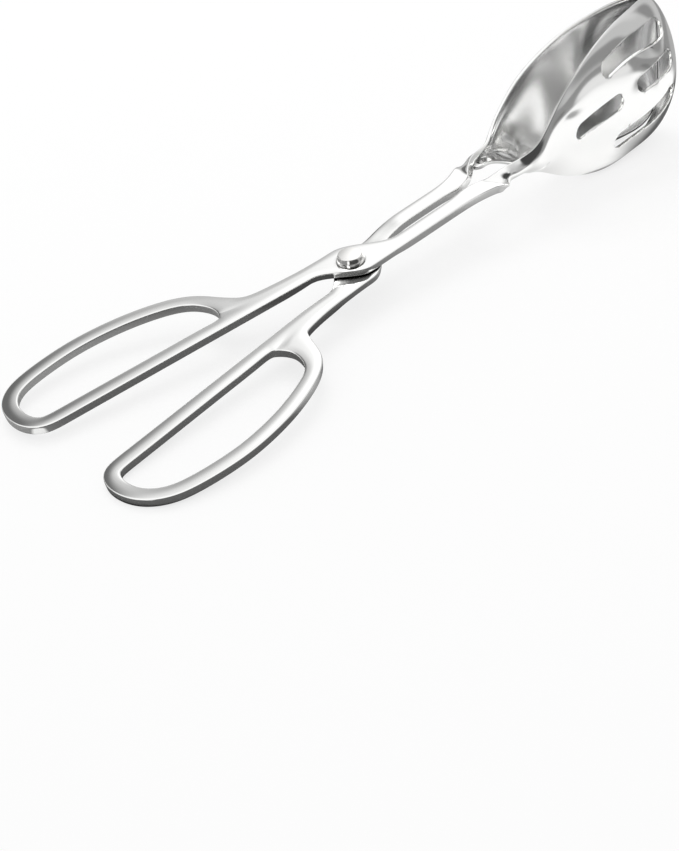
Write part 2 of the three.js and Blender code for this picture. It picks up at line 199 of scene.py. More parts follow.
@dataclass(frozen=True)
class RivetSizes:
    """The rivet, and how the levers are stacked on it."""

    radius: float = 2.4
    bore: float = 2.7
    bore_length: float = 25.68
    head_radius: float = 4.4
    head_height: float = 2.48
    head_top: float = 3.8
    head_round: float = 0.25
    head_foot: float = 0.35
    tail_radius: float = 4.0
    tail_height: float = 1.2
    tail_round: float = 0.5
    lower_base: float = 1.5
    upper_base: float = 4.1
    head_base: float = 6.42
    segments: int = 96
    round_steps: int = 6


@dataclass(frozen=True)
class EyeSizes:
    """The crossing of the levers, and the step of the lower one under the upper one."""

    near_start: float = -13.5
    near_length: float = 15.0
    far_start: float = 0.5
    far_length: float = 17.5
    waist: float = 0.7
    joggle_inner: float = 12.0
    handle_run: float = 14.0
    arm_run: float = 13.0
    handle_rise: float = 0.6
    rows: int = 16


@dataclass(frozen=True)
class ArmSizes:
    """The flat arm and its flare."""

    width: float = 5.6
    gap: float = 3.2
    flare_start: float = 42.0
    flare_width: float = 7.0
    flare_offset: float = 5.8
    arm_rows: int = 4
    flare_rows: int = 4


@dataclass(frozen=True)
class NeckSizes:
    """The turn on edge and the channel behind the bowl."""

    turn_start: float = 56.0
    start: float = 66.5
    end: float = 72.0
    height: float = 4.9
    turn_offset: float = 7.6
    start_offset: float = 6.7
    end_offset: float = 8.1
    dish: float = 3.0
    power: float = 1.26
    lean_angle: float = 22.0
    turn_station_shares: Shares = (0.2, 0.4, 0.55, 0.72, 0.89)
    turn_offset_shares: Shares = (0.91, 1, 0.985, 0.91, 0.865)
    turn_dish_shares: Shares = (0, 0.1, 0.3, 0.67, 0.93)
    lean_station_shares: Shares = (0.15, 0.229, 0.314, 0.457, 0.629, 0.843, 1)
    lean_shares: Shares = (0.877, 0.98, 1, 0.564, 0.273, 0.04, 0)
    rise_station_shares: Shares = (
        0.057, 0.1, 0.15, 0.229, 0.286, 0.343, 0.414, 0.514, 0.629, 0.8, 1)
    rise_shares: Shares = (
        0.173, 0.347, 0.527, 0.388, 0.402, 0.666, 0.971, 1.002, 0.912, 0.943, 1)
    twist_rows: int = 14
    rows: int = 4


@dataclass(frozen=True)
class BowlSizes:
    """The drawn half-bowl and its slots."""

    rim_offset: float = 10.0
    peak: float = 126.0
    tip: float = 152.4
    tip_gap: float = 0.7
    height: float = 52.1
    depth: float = 14.18
    power: float = 0.68
    bluntness: float = 4.0
    nose_start: float = 137.5
    lift: float = 1.7
    spread_end: float = 90.0
    round_start: float = 115.0
    slot_width: float = 6.2
    slot_round: float = 0.2
    slot_angle: float = 50.0
    slot_steps: int = 24
    slot_start: float = -2.0
    offset_station_shares: Shares = (
        0.035, 0.075, 0.14, 0.22, 0.36, 0.52, 0.68, 0.765, 0.855, 0.93, 1)
    offset_shares: Shares = (0.93, 1, 1, 0.96, 0.83, 0.63, 0.425, 0.31, 0.125)
    height_station_shares: Shares = (
        0, 0.093, 0.146, 0.2, 0.309, 0.42, 0.537, 0.656, 0.778, 0.898, 1)
    height_shares: Shares = (
        0.152, 0.277, 0.366, 0.445, 0.6, 0.73, 0.839, 0.919, 0.967, 0.991, 1)
    depth_station_shares: Shares = (0.075, 0.15, 0.24, 0.34, 0.46, 0.6, 0.79, 1)
    depth_shares: Shares = (0.288, 0.327, 0.359, 0.381, 0.405, 0.458, 0.641, 1)
    slot_line_shares: tuple[tuple[tuple[float, float], ...], ...] = (
        ((0.484, 0.612), (0.654, 0.694), (0.815, 0.71)),
        ((0.291, 0.015), (0.401, 0.05), (0.512, 0.083)),
        ((0.669, 0.168), (0.741, 0.242), (0.815, 0.304)),
        ((0.547, -0.522), (0.685, -0.425), (0.817, -0.191)),
    )
    rows: int = 22
    row_power: float = 1.3
    nose_rows: int = 10


@dataclass(frozen=True)
class HandleSizes:
    """The shank and the finger ring."""

    shank_offset: float = 3.6
    shank_width: float = 6.0
    shank_length: float = 24.6
    splay: float = 5.5
    length: float = 75.0
    width: float = 30.4
    bar: float = 4.6
    shank_rows: int = 8
    ring_rows: int = 64
    outer_shares: tuple[tuple[float, float], ...] = (
        (0.053, 0), (0.1, 0), (0.18, 0), (0.32, 0), (0.54, 0), (0.76, 0), (0.865, 0),
        (0.932, 0.03), (0.98, 0.145), (1, 0.31), (0.996, 0.49), (0.965, 0.665), (0.897, 0.82),
        (0.787, 0.92), (0.64, 0.985), (0.5, 1), (0.35, 0.965), (0.215, 0.885), (0.115, 0.775),
        (0.046, 0.625), (0, 0.455), (-0.048, 0.303))
    shoulder_shares: Shares = (0.15, 0.4, 0.8, 1, 0.85, 0.45)
    bar_full_shares: Shares = (0, 0, 0, 0.037, 0.296, 0)
    shoulder_full_shares: Shares = (0, 0, 0, 0.43, 0.48, 0)
    crotch_shares: tuple[float, float] = (0.072, 0.204)
    far_shares: Shares = (0.12, 0.3, 0.52, 0.735)
    near_shares: Shares = (0.069, 0.345, 0.598, 0.845)
    fill_shares: Shares = (0.015, 0.055, 0.125, 0.25)


def places(start: float, end: float, shares: Shares) -> list[float]:
    """The places at the given shares of the way from start to end."""
    return [blend(start, end, share) for share in shares]


def sizes(whole: float, shares: Shares) -> list[float]:
    """The given shares of a size."""
    return [whole * share for share in shares]


def deselect() -> None:
    """Leaves object mode with nothing selected."""
    if bpy.context.object and bpy.context.object.mode != "OBJECT":
        bpy.ops.object.mode_set(mode="OBJECT")
    bpy.ops.object.select_all(action="DESELECT")


def select(*objects: bpy.types.Object) -> None:
    """Selects these objects alone and makes the first one active.

    Args:
        objects: The objects.
    """
    deselect()
    for item in objects:
        item.select_set(True)
    bpy.context.view_layer.objects.active = objects[0]


def apply_modifier(item: bpy.types.Object, name: str, kind: str, **settings: object) -> None:
    """Adds a modifier to an object and applies it.

    Args:
        item: The object.
        name: The modifier's name.
        kind: Blender's word for the modifier.
        settings: Its settings.
    """
    select(item)
    modifier = item.modifiers.new(name, kind)
    for key, value in settings.items():
        setattr(modifier, key, value)
    bpy.ops.object.modifier_apply(modifier=name)


def grid_of_rows(name: str, rows: list[Row]) -> bpy.types.Object:
    """A grid whose points are moved to the given rows.

    Args:
        name: The object's name.
        rows: Rows of points in millimetres, all of one length.

    Returns:
        The sheet of four-sided faces.
    """
    deselect()
    bpy.ops.mesh.primitive_grid_add(
        x_subdivisions=len(rows[0]) - 1, y_subdivisions=len(rows) - 1, size=1)
    item = bpy.context.object
    item.name = item.data.name = name
    for vertex, point in zip(item.data.vertices, (p for row in rows for p in row)):
        vertex.co = point * MM
    return item


def face_outwards(item: bpy.types.Object) -> None:
    """Turns all faces of an object outwards, or to one side where it is an open sheet.

    Args:
        item: The object.
    """
    select(item)
    bpy.ops.object.mode_set(mode="EDIT")
    bpy.ops.mesh.select_all(action="SELECT")
    bpy.ops.mesh.normals_make_consistent(inside=False)
    bpy.ops.object.mode_set(mode="OBJECT")


def weigh_edges(item: bpy.types.Object, angle: float, weight: Callable[[float], float]) -> None:
    """Marks the sharp edges of an object for the bevel that follows.

    Args:
        item: The object.
        angle: The turn in degrees between two faces past which their edge is sharp.
        weight: The weight of a sharp edge, from its place along X in millimetres.
    """
    mesh = bmesh.new()
    mesh.from_mesh(item.data)
    layers = mesh.edges.layers.float
    layer = layers.get("bevel_weight_edge") or layers.new("bevel_weight_edge")
    for edge in mesh.edges:
        sharp = len(edge.link_faces) == 2 and edge.calc_face_angle() > math.radians(angle)
        x = sum(v.co.x for v in edge.verts) / 2 / MM
        edge[layer] = weight(x) if sharp else 0.0
    mesh.to_mesh(item.data)
    mesh.free()


class Side(Enum):
    """Which of the two levers, by the name of its node."""

    SLOTTED = "slotted_lever"
    PLAIN = "plain_lever"


@dataclass
class Lever:
    """One lever: a pressed strap with a ring handle, an eye, an arm, a neck and a bowl.

    All its lines are drawn for the slotted lever, and placed() moves them to the plain one.
    The shoulder is how far the ring's front corner reaches forward.
    """

    side: Side
    body: str
    shoulder: float
    sheet: SheetSizes = field(default_factory=SheetSizes)
    rivet: RivetSizes = field(default_factory=RivetSizes)
    eye: EyeSizes = field(default_factory=EyeSizes)
    arm: ArmSizes = field(default_factory=ArmSizes)
    neck: NeckSizes = field(default_factory=NeckSizes)
    bowl: BowlSizes = field(default_factory=BowlSizes)
    handle: HandleSizes = field(default_factory=HandleSizes)

    def __post_init__(self) -> None:
        """Works out the levels, the edges and the curves along the lever."""
        sheet, rivet, arm, neck, bowl = self.sheet, self.rivet, self.arm, self.neck, self.bowl
        self.arm_middle = rivet.upper_base + sheet.plate / 2
        self.bowl_middle = rivet.upper_base + sheet.plate + bowl.lift
        self.arm_inner = -arm.gap / 2
        self.arm_outer = self.arm_inner - arm.width
        self.half_bowl = (bowl.height - sheet.shell) / 2
        self.deepest = bowl.depth - sheet.shell / 2
        self.tip_middle = bowl.tip - sheet.shell / 2
        self.cross_end = self.eye.far_start + self.eye.far_length
        turn_places = places(neck.turn_start, neck.start, neck.turn_station_shares)
        self.rim = Curve(
            [arm.flare_start, neck.turn_start, *turn_places, neck.start, neck.end,
             *places(neck.end, bowl.tip, bowl.offset_station_shares)],
            [-(self.arm_inner + self.arm_outer) / 2, arm.flare_offset,
             *sizes(neck.turn_offset, neck.turn_offset_shares), neck.start_offset,
             neck.end_offset, *sizes(bowl.rim_offset, bowl.offset_shares),
             bowl.tip_gap / 2, bowl.tip_gap / 2])
        self.half = Curve(
            [arm.flare_start, neck.turn_start, neck.start,
             *places(neck.end, bowl.peak, bowl.height_station_shares)],
            [arm.width / 2, arm.flare_width / 2, neck.height / 2,
             *sizes(self.half_bowl, bowl.height_shares)])
        self.back = Curve(
            [neck.turn_start, *turn_places, neck.start, neck.end,
             *places(neck.end, bowl.nose_start, bowl.depth_station_shares)],
            [0.0, *sizes(neck.dish, neck.turn_dish_shares), neck.dish, neck.dish,
             *sizes(self.deepest, bowl.depth_shares)])
        self.rise = Curve(
            [arm.flare_start, neck.turn_start,
             *places(neck.turn_start, bowl.peak, neck.rise_station_shares)],
            [0.0, 0.0, *neck.rise_shares])
        self.lean = Curve(
            [neck.turn_start, *places(neck.turn_start, bowl.peak, neck.lean_station_shares)],
            [0.0, *sizes(math.radians(neck.lean_angle), neck.lean_shares)])
        splay = math.radians(self.handle.splay)
        self.backwards = Vector((-math.cos(splay), math.sin(splay)))
        self.outwards = Vector((math.sin(splay), math.cos(splay)))
        self.ring_start = (Vector((self.eye.near_start, self.handle.shank_offset))
                           + self.backwards * self.handle.shank_length)
        crotch = self.handle.crotch_shares
        self.crotch = self.in_handle(crotch[0] * self.handle.length,
                                     crotch[1] * self.handle.width)

    def in_handle(self, along: float, across: float) -> Vector:
        """A point of the handle, back along its straight bar and out from it."""
        return self.ring_start + self.backwards * along + self.outwards * across

    def near_edge(self, x: float) -> float:
        """The strap's edge on the other handle's side, where the levers cross."""
        return blend(self.handle.shank_offset, self.arm_outer,
                     smooth((x - self.eye.near_start) / self.eye.near_length))

    def far_edge(self, x: float) -> float:
        """The strap's other edge where the levers cross, drawn in beside the rivet.

        Args:
            x: The place along the tongs.

        Returns:
            The edge's place across them.
        """
        eye, h = self.eye, self.handle
        past = clamp((x - eye.near_start) / (eye.far_start - eye.near_start))
        drawn_in = h.shank_offset + h.shank_width - eye.waist * math.sin(past * QUARTER)
        return blend(drawn_in, self.arm_inner, smooth((x - eye.far_start) / eye.far_length))

    def column_shares(self, count: int, width: float, free: tuple[bool, bool]) -> list[float]:
        """Where the columns lie: a narrow one beside each free edge, the rest even.

        Args:
            count: The number of columns.
            width: The width that they share.
            free: Whether the first and the last edge are free.

        Returns:
            The share of the width at each line between columns.
        """
        band = self.sheet.edge_band / width
        first, last = (band if free[0] else 0.0), (1 - band if free[1] else 1.0)
        start, end = (1 if free[0] else 0), (count - 1 if free[1] else count)
        return [i / count if i in (0, count) else
                blend(first, last, (i - start) / (end - start)) for i in range(count + 1)]

    def strip(self, near: Vector, far: Vector, free: tuple[bool, bool]) -> Row:
        """Half a row of the flat strap, between two points of its plan."""
        shares = self.column_shares(self.sheet.half_columns, (far - near).length, free)
        return [near.lerp(far, s).to_3d() + Vector((0, 0, self.arm_middle)) for s in shares]

    def flat_row(self, near: Vector, middle: Vector, far: Vector) -> Row:
        """A row of the flat strap, from its near edge through its middle to its far edge."""
        return (self.strip(near, middle, (True, False))
                + self.strip(middle, far, (False, True))[1:])

    def straight_row(self, x: float) -> Row:
        """A row straight across the flat strap at x."""
        near, far = Vector((x, self.near_edge(x))), Vector((x, self.far_edge(x)))
        return self.flat_row(near, (near + far) / 2, far)

    def turned_row(self, x: float) -> Row:
        """A row across the strap, turned about the strap's length and dished.

        Args:
            x: The place along the tongs.

        Returns:
            The row's points.
        """
        neck, bowl, columns = self.neck, self.bowl, 2 * self.sheet.half_columns
        half = self.half(x)
        lean = self.lean(x) if x > neck.turn_start else 0.0
        turn = smooth((x - neck.turn_start) / (neck.start - neck.turn_start)) * QUARTER + lean
        spread = smooth((x - neck.start) / (bowl.spread_end - neck.start))
        power = blend(neck.power, bowl.power,
                      clamp((x - neck.end) / (bowl.round_start - neck.end)))
        row = []
        for i, share in enumerate(self.column_shares(columns, 2 * half, (True, True))):
            across = blend(2 * share - 1, math.sin(math.pi * (i / columns - 0.5)), spread)
            dish = self.back(x) * max(1 - across**2, 0.0) ** power
            row.append(Vector((
                x,
                half * math.sin(lean) - self.rim(x)
                + half * across * math.cos(turn) - dish * math.sin(turn),
                blend(self.arm_middle, self.bowl_middle, self.rise(x))
                + half * across * math.sin(turn) + dish * math.cos(turn))))
        return row

    def nose_row(self, step: float) -> Row:
        """A row of the nose, on a square grid that is drawn out to the blunt outline.

        Args:
            step: How far the row is from the bowl's peak at 0 to the outline at 1.

        Returns:
            The row's points.
        """
        bowl, columns = self.bowl, 2 * self.sheet.half_columns
        ahead = math.sin(QUARTER * step)
        row = []
        for i in range(columns + 1):
            across = math.sin(math.pi * (i / columns - 0.5))
            u = ahead * math.sqrt(1 - across**2 / 2)
            v = across * math.sqrt(1 - ahead**2 / 2)
            radius = math.hypot(u, v) or 1.0
            size = (u / radius) ** bowl.bluntness + abs(v / radius) ** bowl.bluntness
            stretch = (size or 1.0) ** (-1 / bowl.bluntness)
            x = blend(bowl.peak, self.tip_middle, u * stretch)
            height = max(1 - (u * stretch) ** bowl.bluntness, 0.0) ** (1 / bowl.bluntness)
            level = min(abs(v * stretch) / height, 1.0) if height > 0 else 1.0
            nose = clamp((x - bowl.nose_start) / (self.tip_middle - bowl.nose_start))
            on_rim = step == 1 or i in (0, columns)
            curve = 0.0 if on_rim else math.sqrt(1 - nose**2) * (1 - level**2) ** bowl.power
            row.append(Vector((x, -self.rim(x) - self.back(x) * curve,
                               self.bowl_middle + self.half_bowl * v * stretch)))
        return row

    def ring_rails(self) -> tuple[Rail, Rail]:
        """The two edges of the ring's bar, from the shank round to the shank again.

        Returns:
            The outer and the inner edge.
        """
        h = self.handle
        none = (0.0,) * (len(h.outer_shares) - len(h.shoulder_shares))
        outer = [self.in_handle(along * h.length - self.shoulder * share, across * h.width)
                 for (along, across), share in zip(h.outer_shares, none + h.shoulder_shares)]
        widths = [h.bar * (1 + bar) + self.shoulder * share for bar, share in zip(
            none + h.bar_full_shares, none + h.shoulder_full_shares)]
        inner = [self.crotch]
        for before, point, after, width in zip(outer, outer[1:], outer[2:], widths[1:]):
            run = (after - before).normalized()
            inner.append(point + Vector((run.y, -run.x)) * width)
        return Rail(outer), Rail([*inner, self.crotch], closed=True)

    def shank_rails(self, outer: Rail) -> tuple[Rail, Rail, Rail]:
        """The lines along which the shank runs from the ring to the eye.

        Args:
            outer: The outer edge of the ring's bar.

        Returns:
            The near edge, the middle and the far edge of the shank.
        """
        h = self.handle
        near = [outer(0), *[self.in_handle(-h.shank_length * (1 - s), 0)
                            for s in reversed(h.near_shares)],
                self.in_handle(-h.shank_length, 0)]
        far = [outer(1), *[self.in_handle(-h.shank_length * (1 - s), h.shank_width * (1 + f))
                           for s, f in zip(reversed(h.far_shares), reversed(h.fill_shares))],
               Vector((self.eye.near_start, h.shank_offset + h.shank_width))]
        middle = [self.crotch, *[(a + b) / 2 for a, b in zip(near[1:], far[1:])]]
        return Rail(near), Rail(middle), Rail(far)

    def strap_rows(self) -> list[Row]:
        """The strap, from where the ring divides to the nose.

        Returns:
            All its rows.
        """
        outer, _ = self.ring_rails()
        rails = self.shank_rails(outer)
        neck, bowl, eye, arm = self.neck, self.bowl, self.eye, self.arm
        rows = [self.strip(outer(0), self.crotch, (True, True))
                + self.strip(self.crotch, outer(1), (True, True))[1:]]
        for share in shares_of(self.handle.shank_rows):
            rows.append(self.flat_row(*[rail(share) for rail in rails]))
        for count, row, start, end, power in (
            (eye.rows, self.straight_row, eye.near_start, self.cross_end, 1.0),
            (arm.arm_rows, self.straight_row, self.cross_end, arm.flare_start, 1.0),
            (arm.flare_rows, self.turned_row, arm.flare_start, neck.turn_start, 1.0),
            (neck.twist_rows, self.turned_row, neck.turn_start, neck.start, 1.0),
            (neck.rows, self.turned_row, neck.start, neck.end, 1.0),
            (bowl.rows, self.turned_row, neck.end, bowl.peak, bowl.row_power),
            (bowl.nose_rows, self.nose_row, 0.0, 1.0, 1.0),
        ):
            rows += [row(blend(start, end, share**power)) for share in shares_of(count)]
        return rows

    def ring_rows(self) -> list[Row]:
        """The ring's bar, which starts and ends on the row where it divides.

        Returns:
            All its rows.
        """
        outer, inner = self.ring_rails()
        count = self.handle.ring_rows
        return [self.strip(outer(i / count), inner(i / count), (True, True))
                for i in range(count + 1)]

    def placed(self, point: Vector) -> Vector:
        """Moves a point of the slotted lever to where it is on this lever.

        Args:
            point: The point on the slotted lever.

        Returns:
            The point on this lever: on the plain one mirrored, and stepped down at the eye.
        """
        if self.side is Side.SLOTTED:
            return point
        drop = self.rivet.upper_base - self.rivet.lower_base
        to_handle = point.x < 0
        run = self.eye.handle_run if to_handle else self.eye.arm_run
        rise = self.eye.handle_rise if to_handle else drop
        past = (math.hypot(point.x, point.y) - self.eye.joggle_inner) / run
        return Vector((point.x, -point.y, point.z - drop + rise * smooth(past)))

    def thin_share(self, x: float) -> float:
        """How far the sheet has thinned from the plate to the shell at x."""
        return smooth((x - self.neck.turn_start) / (self.neck.end - self.neck.turn_start))

    def middle_sheet(self) -> bpy.types.Object:
        """The surface half way through the lever's thickness, as one mesh.

        Returns:
            The open sheet.
        """
        strap = grid_of_rows(self.side.value + "_skin",
                             [[self.placed(p) for p in row] for row in self.strap_rows()])
        ring = grid_of_rows("ring", [[self.placed(p) for p in row] for row in self.ring_rows()])
        select(strap, ring)
        bpy.ops.object.join()
        bpy.ops.object.mode_set(mode="EDIT")
        bpy.ops.mesh.select_all(action="SELECT")
        bpy.ops.mesh.remove_doubles(threshold=self.sheet.same_point * MM)
        bpy.ops.object.mode_set(mode="OBJECT")
        face_outwards(strap)
        self.weigh_walls(strap)
        self.settle_bars(strap)
        return strap

    def bar_share(self, place: Vector) -> float:
        """How far the sheet is past the eye, where it isn't pressed thinner."""
        past = math.hypot(place.x, place.y) / MM - self.sheet.bar_start
        return smooth(past / self.sheet.bar_run)

    def weigh_walls(self, item: bpy.types.Object) -> None:
        """Writes the sheet's thickness at each point as a weight from the shell to the bar.

        Args:
            item: The open sheet.
        """
        made = self.sheet
        group = item.vertex_groups.new(name="thickness")
        for vertex in item.data.vertices:
            bar = blend(made.plate, made.bar, self.bar_share(vertex.co))
            wall = blend(bar, made.shell, self.thin_share(vertex.co.x / MM))
            group.add([vertex.index], (wall - made.shell) / (made.bar - made.shell), "REPLACE")

    def settle_bars(self, item: bpy.types.Object) -> None:
        """Keeps the bars' tops level with the eye and crowns them towards their free edges.

        Args:
            item: The open sheet.
        """
        made = self.sheet
        mesh = bmesh.new()
        mesh.from_mesh(item.data)
        rim = [edge for edge in mesh.edges if edge.is_boundary]
        steps = shares_of(made.rim_steps)
        near = KDTree(len(rim) * len(steps))
        for i, edge in enumerate(rim):
            for k, share in enumerate(steps):
                near.insert(edge.verts[0].co.lerp(edge.verts[1].co, share), i * len(steps) + k)
        near.balance()
        for vertex in mesh.verts:
            reach = clamp(1 - near.find(vertex.co)[2] / MM / made.crown_reach)
            flat = 1 - smooth((vertex.co.x / MM - self.arm.flare_start)
                              / (self.neck.turn_start - self.arm.flare_start))
            thicker = (made.bar - made.plate) * self.bar_share(vertex.co)
            vertex.co.z -= flat * (made.crown_drop * reach**2 + thicker / 2) * MM
        mesh.to_mesh(item.data)
        mesh.free()

    def round_share(self, x: float) -> float:
        """The rounding of the walls' edges at x, as a share of the plate's."""
        return blend(1.0, self.sheet.shell_round / self.sheet.plate_round, self.thin_share(x))

    def cut(self, item: bpy.types.Object, tool: bpy.types.Object) -> None:
        """Cuts a closed tool out of the lever and deletes the tool."""
        apply_modifier(item, "cut", "BOOLEAN", object=tool, operation="DIFFERENCE",
                       solver="EXACT")
        bpy.data.objects.remove(tool)

    def bore_tool(self) -> bpy.types.Object:
        """A round bar for the hole of the rivet.

        Returns:
            The closed tool.
        """
        deselect()
        bpy.ops.mesh.primitive_cylinder_add(
            vertices=self.rivet.segments, radius=self.rivet.bore * MM,
            depth=self.rivet.bore_length * MM)
        return bpy.context.object

    def slot_tool(self, line_shares: tuple[tuple[float, float], ...]) -> bpy.types.Object:
        """A bar with round ends that follows a curved line, across the bowl's back.

        Args:
            line_shares: Three points of the slot's line, as shares of the bowl's length
                and, from its middle, of half its height.

        Returns:
            The closed tool.
        """
        bowl, steps = self.bowl, self.bowl.slot_steps
        line = Rail([Vector((blend(self.neck.end, bowl.tip, along),
                             self.bowl_middle + up * self.half_bowl))
                     for along, up in line_shares])

        def beside(share: float, angle: float) -> Vector:
            """A point of the slot's outline.

            Args:
                share: The share of the slot's line.
                angle: The turn from the line's direction to the point.

            Returns:
                The point, half the slot's width from the line.
            """
            run = line.direction(share)
            turned = Vector((run.x * math.cos(angle) - run.y * math.sin(angle),
                             run.x * math.sin(angle) + run.y * math.cos(angle)))
            return line(share) + turned * bowl.slot_width / 2

        shares = [i / steps for i in range(steps)]
        outline = [*[beside(s, -QUARTER) for s in shares],
                   *[beside(1, blend(-QUARTER, QUARTER, s)) for s in shares],
                   *[beside(1 - s, QUARTER) for s in shares],
                   *[beside(0, QUARTER + math.pi * s) for s in shares]]
        deselect()
        bpy.ops.mesh.primitive_circle_add(vertices=len(outline), radius=MM, fill_type="NGON")
        tool = bpy.context.object
        for vertex, point in zip(tool.data.vertices, outline):
            vertex.co = Vector((point.x, bowl.slot_start, point.y)) * MM
        bpy.ops.object.mode_set(mode="EDIT")
        bpy.ops.mesh.select_all(action="SELECT")
        bpy.ops.mesh.extrude_region_move(
            TRANSFORM_OT_translate={"value": (0, -(bowl.rim_offset + bowl.depth) * MM, 0)})
        bpy.ops.object.mode_set(mode="OBJECT")
        face_outwards(tool)
        return tool

    def round_edges(self, item: bpy.types.Object, name: str, radius: float) -> None:
        """Rounds the edges that are marked, each by its weight's share of the radius."""
        apply_modifier(item, name, "BEVEL", width=radius * MM,
                       segments=self.sheet.round_segments, limit_method="WEIGHT",
                       use_clamp_overlap=False)

    def cut_slots(self, item: bpy.types.Object) -> None:
        """Cuts the slots through the bowl and breaks the sharp edges that are left.

        Args:
            item: The lever.
        """
        for line_shares in self.bowl.slot_line_shares:
            self.cut(item, self.slot_tool(line_shares))
        weigh_edges(item, self.bowl.slot_angle, lambda x: 1.0)
        self.round_edges(item, "slot edge", self.bowl.slot_round)

    def build(self, finish: "PolishedSteel") -> bpy.types.Object:
        """Builds the lever, dresses it and puts it on its body.

        Args:
            finish: The steel's finish.

        Returns:
            The finished lever.
        """
        item, sheet = self.middle_sheet(), self.sheet
        apply_modifier(item, "wall", "SOLIDIFY", thickness=sheet.bar * MM, offset=0.0,
                       vertex_group="thickness", use_quality_normals=True, use_even_offset=True,
                       thickness_vertex_group=sheet.shell / sheet.bar)
        face_outwards(item)
        weigh_edges(item, sheet.wall_angle, self.round_share)
        self.round_edges(item, "edge", sheet.plate_round)
        apply_modifier(item, "press", "SUBSURF", levels=sheet.press_levels,
                       render_levels=sheet.press_levels)
        self.cut(item, self.bore_tool())
        if self.side is Side.SLOTTED:
            self.cut_slots(item)
        item.vertex_groups.clear()
        finish.dress(item)
        select(item)
        bpy.ops.object.shade_smooth_by_angle(angle=math.radians(sheet.smooth_angle))
        apply_modifier(item, "even shading", "WEIGHTED_NORMAL", keep_sharp=True)
        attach(item, self.body)
        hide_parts(self.side.value)
        log.info("%s: %d faces", item.name, len(item.data.polygons))
        return item


@dataclass
class Rivet:
    """The rivet: a low round head, a shank through both eyes and a pressed tail."""

    body: str
    made: RivetSizes = field(default_factory=RivetSizes)
    smooth_angle: float = 40.0

    def profile(self) -> list[tuple[float, float]]:
        """The rivet's outline, from the edge of the tail's flat to that of the head's.

        Returns:
            Radius and height of each point.
        """
        m = self.made

        def corner(radius: float, level: float, size: float, start: float
                   ) -> list[tuple[float, float]]:
            """A round corner of the outline.

            Args:
                radius: The rivet's radius at the corner's outer side.
                level: The height of the rounding's middle.
                size: The radius of the rounding.
                start: The angle at which it starts.

            Returns:
                Radius and height of each point.
            """
            angles = [start + QUARTER * i / m.round_steps for i in range(m.round_steps + 1)]
            return [(radius - size + size * math.cos(a), level + size * math.sin(a))
                    for a in angles]

        top = m.head_base + m.head_height
        steep = top - m.head_round - m.head_base - m.head_foot
        side = [(blend(m.head_top, m.head_radius, math.cos(QUARTER * share)),
                 m.head_base + m.head_foot + steep * share)
                for share in shares_of(m.round_steps)[:-1]]
        return [
            *corner(m.tail_radius, m.tail_round, m.tail_round, -QUARTER),
            (m.tail_radius, m.tail_height), (m.radius, m.tail_height),
            (m.radius, m.head_base), (m.head_radius, m.head_base),
            (m.head_radius, m.head_base + m.head_foot), *side,
            *corner(m.head_top, top - m.head_round, m.head_round, 0.0),
        ]

    def build(self, finish: "PolishedSteel") -> bpy.types.Object:
        """Draws the rivet up from its tail, ring by ring, and dresses it.

        Args:
            finish: The steel's finish.

        Returns:
            The finished rivet.
        """
        points = self.profile()
        deselect()
        bpy.ops.mesh.primitive_circle_add(
            vertices=self.made.segments, radius=points[0][0] * MM, fill_type="NGON",
            location=(0, 0, points[0][1] * MM))
        bpy.ops.object.transform_apply(location=True, rotation=False, scale=False)
        item = bpy.context.object
        item.name = item.data.name = "pivot_rivet_turned"
        bpy.ops.object.mode_set(mode="EDIT")
        bpy.ops.mesh.select_all(action="SELECT")
        for (radius, level), (wider, higher) in zip(points, points[1:]):
            bpy.ops.mesh.extrude_region_move(
                TRANSFORM_OT_translate={"value": (0, 0, (higher - level) * MM)})
            bpy.ops.transform.resize(value=(wider / radius, wider / radius, 1),
                                     center_override=(0, 0, higher * MM))
        bpy.ops.object.mode_set(mode="OBJECT")
        face_outwards(item)
        finish.dress(item)
        select(item)
        bpy.ops.object.shade_smooth_by_angle(angle=math.radians(self.smooth_angle))
        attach(item, self.body)
        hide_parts("pivot_rivet")
        log.info("%s: %d faces", item.name, len(item.data.polygons))
        return item


def linear(hex_colour: str) -> tuple[float, float, float, float]:
    """An sRGB hex value as a linear colour."""
    parts = [int(hex_colour[i:i + 2], 16) / 255 for i in (1, 3, 5)]
    return (*[c / 12.92 if c <= 0.04045 else ((c + 0.055) / 1.055) ** 2.4 for c in parts], 1.0)


def add_node(tree: bpy.types.NodeTree, kind: str, settings: dict[str, object] | None = None,
             inputs: dict[str | int, object] | None = None) -> bpy.types.Node:
    """Adds a node with its settings and links.

    Args:
        tree: The node tree.
        kind: Blender's word for the node.
        settings: The node's own settings.
        inputs: A value for each named input, or the output that is linked to it.

    Returns:
        The node.
    """
    node = tree.nodes.new(kind)
    for key, value in (settings or {}).items():
        setattr(node, key, value)
    for key, value in (inputs or {}).items():
        if isinstance(value, Socket):
            tree.links.new(value, node.inputs[key])
        else:
            node.inputs[key].default_value = value
    return node


